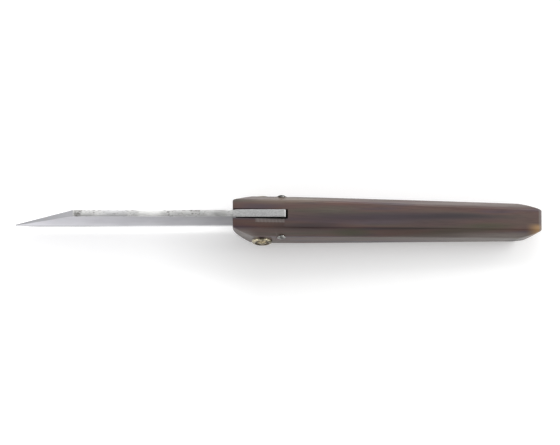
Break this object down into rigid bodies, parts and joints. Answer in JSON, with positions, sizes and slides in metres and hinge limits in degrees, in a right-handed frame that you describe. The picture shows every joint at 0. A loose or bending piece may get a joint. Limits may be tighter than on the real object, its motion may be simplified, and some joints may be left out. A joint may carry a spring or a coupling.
{
  "type": "folding pocket knife",
  "caption": "Friction-folding pocket knife with a clip-point blade in a faceted one-piece horn handle, standing open on its belly.",
  "frame": {"origin": "on the ground under the knife, midway between the blade's tip and the handle's butt and between its two sides", "axes": "+X from the blade's tip towards the handle's butt, +Y to the knife's right side, +Z from the belly up to the back"},
  "size_m": [0.2032, 0.0188, 0.0198],
  "materials": {
    "horn": "satin, dark brown horn with lengthwise streaks",
    "blade_steel": "satin ground faces, rough forged spine",
    "pin_steel": "polished",
    "brass": "polished",
    "bronze": "satin"
  },
  "bodies": {
    "handle_body": {"handle": "horn", "pivot_pin": "brass", "stop_pin": "pin_steel", "rosette_left": "brass", "rosette_right": "brass", "washer_left": "bronze", "washer_right": "bronze"},
    "blade_body": {"blade": "blade_steel"}
  },
  "joints": [
    {"name": "blade_fold", "type": "hinge", "parent": "handle_body", "child": "blade_body", "pos_m": [-0.0062, 0, 0.0096], "axis": [0, -1, 0], "range_deg": [0, 174.5]}
  ]
}
